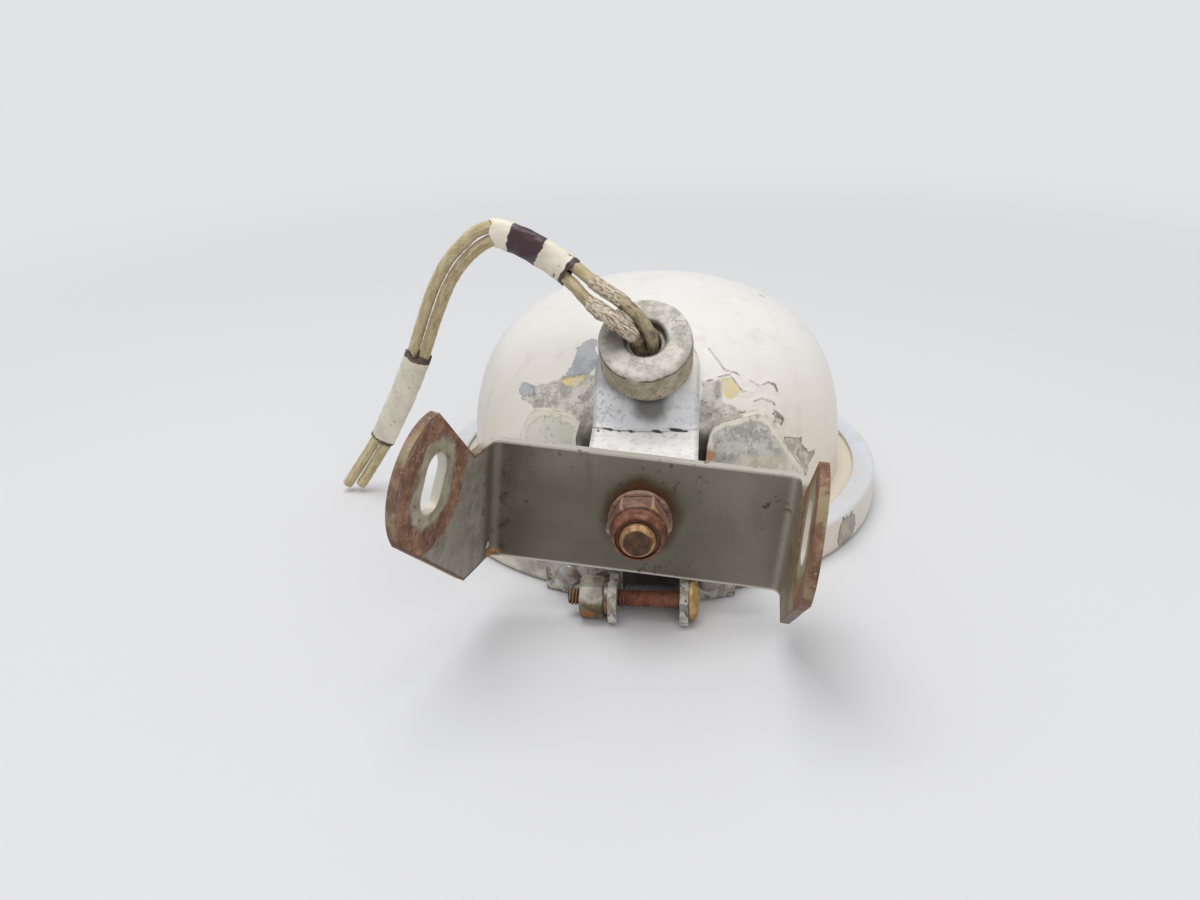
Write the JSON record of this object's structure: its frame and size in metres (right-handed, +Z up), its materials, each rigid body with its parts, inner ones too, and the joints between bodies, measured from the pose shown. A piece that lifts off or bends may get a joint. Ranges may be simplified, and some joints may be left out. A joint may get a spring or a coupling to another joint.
{
  "type": "aircraft taxi light",
  "caption": "Domed aircraft taxi light lying on its clamp ring, with a slotted swivel yoke on a strap bracket, a cable grommet and bare-ended supply wires.",
  "frame": {"origin": "on the floor under the middle of the box round the light without its wires; the lamp's axis stands at y = 24.27 mm", "axes": "+Z up along the lamp's axis, from the lens to the dome's top; -Y towards the yoke's ears; +X to the right, seen from the yoke"},
  "size_m": [0.1538, 0.1727, 0.0859],
  "materials": {
    "cream_paint": "aged gloss paint, cracked and flaking",
    "primer_paint": "matte primer under peeled paint",
    "bluish_white_paint": "satin paint with chips",
    "white_paint": "worn gloss paint",
    "chipped_white_paint": "chipped paint over metal",
    "rivet_metal": "dull",
    "grommet_rubber": "dry, crazed and dusty",
    "eyelet_fibre": "matte",
    "rusty_steel": "rusted",
    "washer_steel": "stained",
    "insert_fibre": "matte",
    "yoke_steel": "dull with rust rings round the slots",
    "plated_screw": "yellow plating with rust on the thread",
    "plain_steel": "dull",
    "gasket_rubber": "matte",
    "lens_glass": "clear",
    "mirror_glass": "silvered glass",
    "filament_metal": "bright wire",
    "terminal_metal": "satin",
    "terminal_brass": "tinned and dull",
    "wire_braid": "lacquered braid, tan",
    "sleeve_vinyl": "matte"
  },
  "bodies": {
    "housing": {"housing_shell": "cream_paint", "saddle_plate": "primer_paint", "saddle_rivets": "rivet_metal", "mounting_strap": "bluish_white_paint", "strap_rivets": "rivet_metal", "cable_grommet": "grommet_rubber", "grommet_eyelet": "eyelet_fibre", "pivot_bolt": "rusty_steel", "pivot_washer": "washer_steel", "pivot_stop_nut": "rusty_steel", "stop_nut_insert": "insert_fibre", "clamp_band": "white_paint", "clamp_tab_left": "chipped_white_paint", "clamp_tab_right": "chipped_white_paint", "tab_rivets": "rivet_metal", "clamp_lock_washer": "plain_steel", "rim_gasket": "gasket_rubber", "lamp_lens": "lens_glass", "lamp_reflector": "mirror_glass", "lamp_filament": "filament_metal", "lamp_terminals": "terminal_metal", "terminal_screws": "terminal_brass", "lead_lugs": "terminal_brass", "inner_leads": "wire_braid", "wire_a": "wire_braid", "wire_b": "wire_braid", "sleeve_upper": "sleeve_vinyl", "sleeve_lower": "sleeve_vinyl"},
    "yoke": {"yoke_bracket": "yoke_steel"},
    "screw": {"clamp_screw": "plated_screw"},
    "nut": {"clamp_nut": "plain_steel"}
  },
  "joints": [
    {"name": "yoke_swivel", "type": "hinge", "parent": "housing", "child": "yoke", "pos_m": [0, -0.04583, 0.027], "axis": [0, -1, 0], "range_deg": [-2, 14]},
    {"name": "clamp_screw_turn", "type": "hinge", "parent": "housing", "child": "screw", "pos_m": [0, -0.04573, 0.0052], "axis": [1, 0, 0], "range_deg": [0, 1080]},
    {"name": "clamp_nut_travel", "type": "slide", "parent": "housing", "child": "nut", "axis": [-1, 0, 0], "range_m": [0, 0.0025]}
  ],
  "couplings": [
    {"joint": "clamp_nut_travel", "follows": "clamp_screw_turn", "m_per_rad": 0.00012633}
  ]
}
